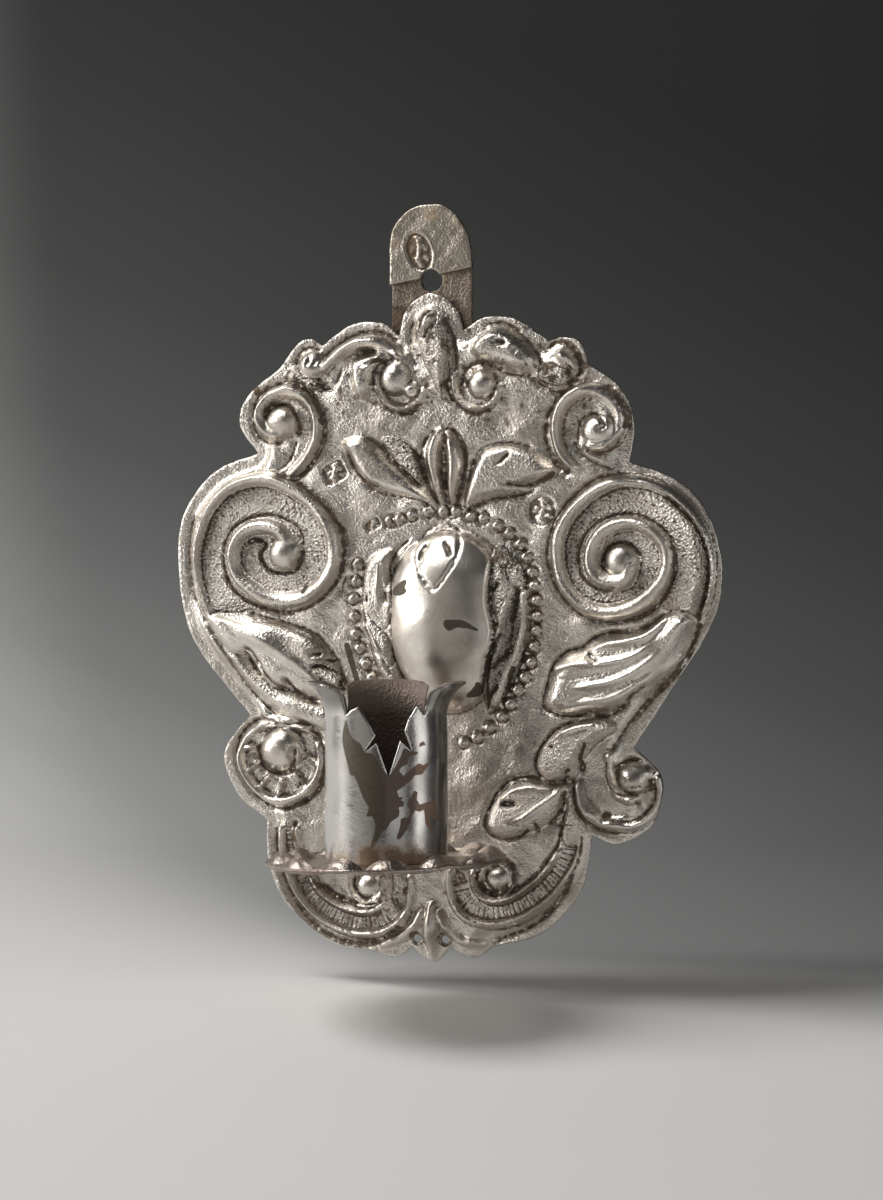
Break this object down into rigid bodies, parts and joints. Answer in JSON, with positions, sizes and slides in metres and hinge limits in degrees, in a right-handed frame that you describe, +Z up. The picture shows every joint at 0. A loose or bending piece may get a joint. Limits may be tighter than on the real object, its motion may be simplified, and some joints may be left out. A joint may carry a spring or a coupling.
{
  "type": "wall sconce candle holder",
  "caption": "Small wall sconce: an embossed silver cartouche plate on a hanging tab, with a bossed drip pan and an open candle socket on a short arm.",
  "frame": {"origin": "centre of the hanging hole on the wall plane, which is the back of the hanging strap", "axes": "+X to the right of a person who faces the sconce, +Y into the wall, +Z up"},
  "size_m": [0.0769, 0.0344, 0.1001],
  "materials": {
    "plate_silver": "aged embossed silver, satin, dark brown oxide in the recesses",
    "strap_silver": "dull silver strap with brown tarnish",
    "tongue_silver": "dull hammered silver with yellow-brown spots",
    "pan_silver": "polished bosses on a worn, browned pan",
    "socket_silver": "smooth bright silver with sharp-edged brown tarnish patches",
    "arm_silver": "dull hammered silver"
  },
  "bodies": {
    "root": {"backplate": "plate_silver", "hanger_strap": "strap_silver", "hanger_tongue": "tongue_silver", "drip_pan": "pan_silver", "candle_socket": "socket_silver", "bracket_arm": "arm_silver"}
  },
  "joints": []
}
